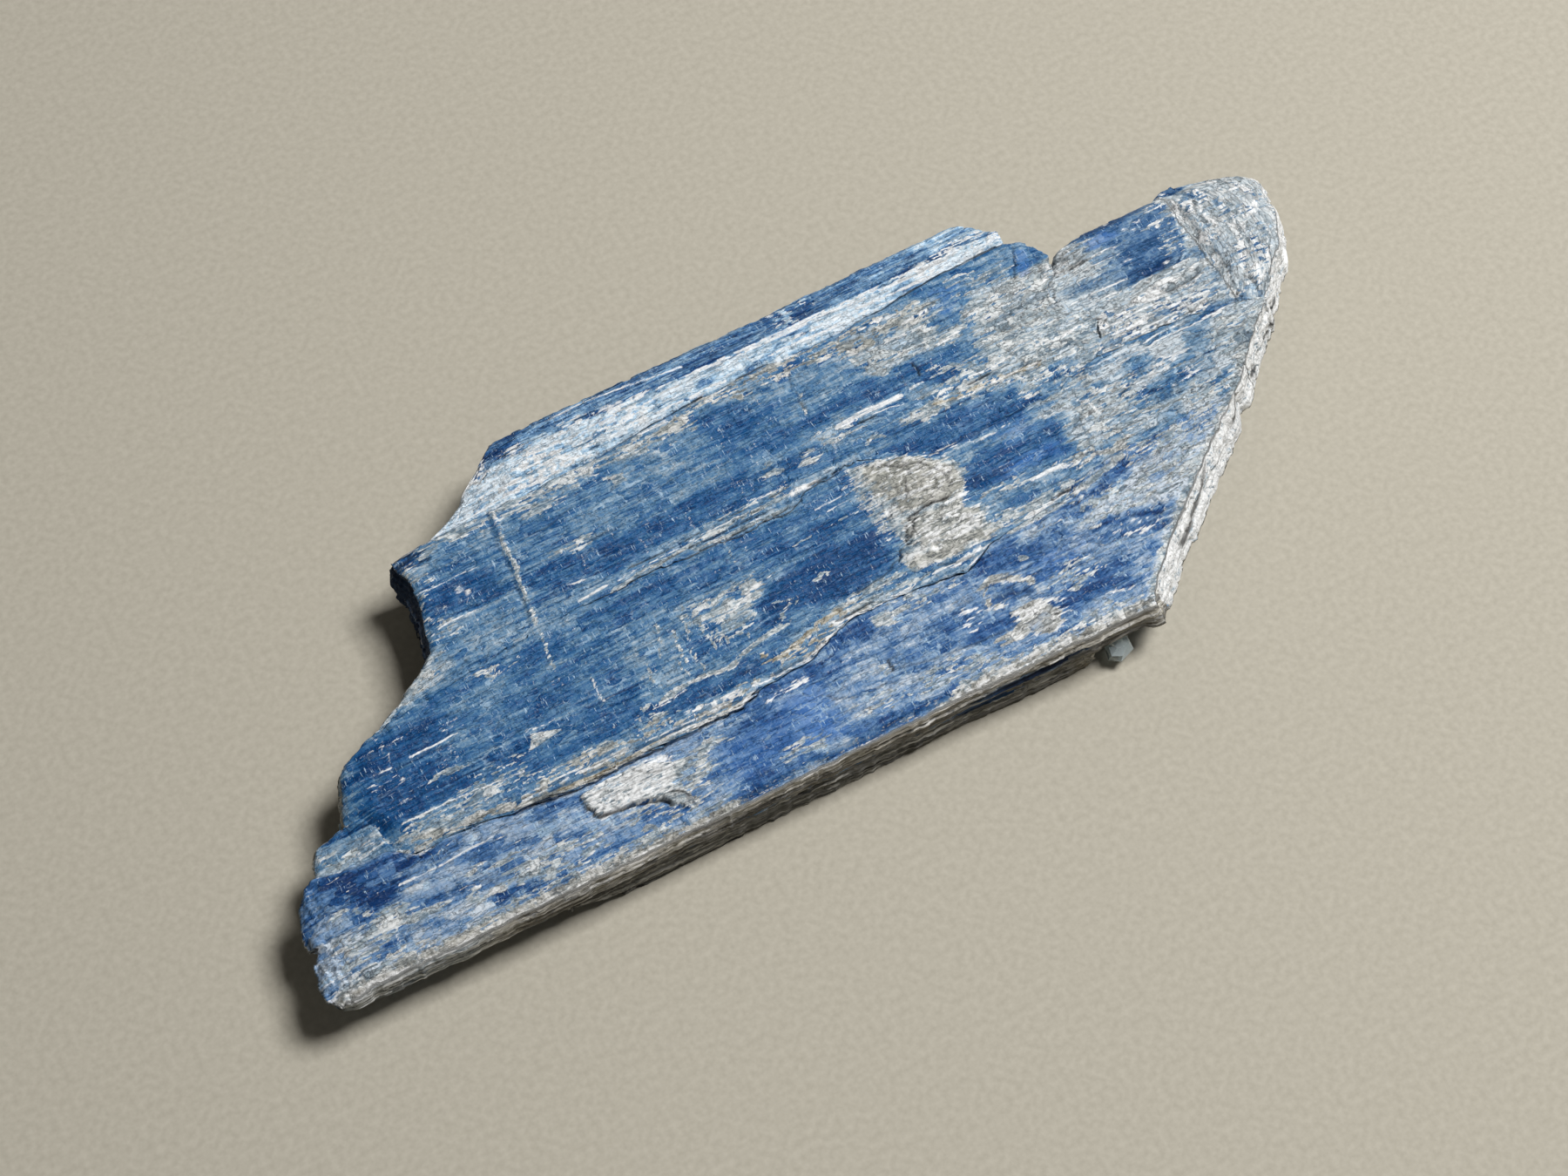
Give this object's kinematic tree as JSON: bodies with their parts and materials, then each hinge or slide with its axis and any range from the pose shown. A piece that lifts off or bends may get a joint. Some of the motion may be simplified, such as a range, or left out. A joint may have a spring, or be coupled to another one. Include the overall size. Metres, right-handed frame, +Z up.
{
  "type": "kyanite blade cluster",
  "caption": "Flat cluster of blue kyanite blades grown side by side and one on another, streaked with cream, for display lying down.",
  "frame": {"origin": "middle of the footprint, on the surface that the cluster lies on", "axes": "+X along the blades towards their bent end, +Y across the blades towards the rear blade, +Z up"},
  "size_m": [0.0709, 0.0278, 0.0053],
  "materials": {
    "pale_cleaved_kyanite": "cleaved crystal, pearly to glassy, streaked pale blue and cream",
    "deep_kyanite": "cleaved crystal, glassy deep blue under pale streaks",
    "pearly_kyanite": "cleaved crystal, pearly silver with a dark blue face",
    "bent_kyanite": "cleaved and bent crystal, pearly grey with a deep blue window",
    "stained_kyanite": "rough laminated sides, stained dark with tan clay",
    "clear_chip": "clear pale blue-green glassy chip"
  },
  "bodies": {
    "root": {"front_blade": "pale_cleaved_kyanite", "corner_blade": "deep_kyanite", "middle_blade": "deep_kyanite", "upper_blade": "deep_kyanite", "end_blade": "bent_kyanite", "rear_blade": "pearly_kyanite", "front_under_blade": "stained_kyanite", "rear_under_blade": "stained_kyanite", "chip": "clear_chip"}
  },
  "joints": []
}
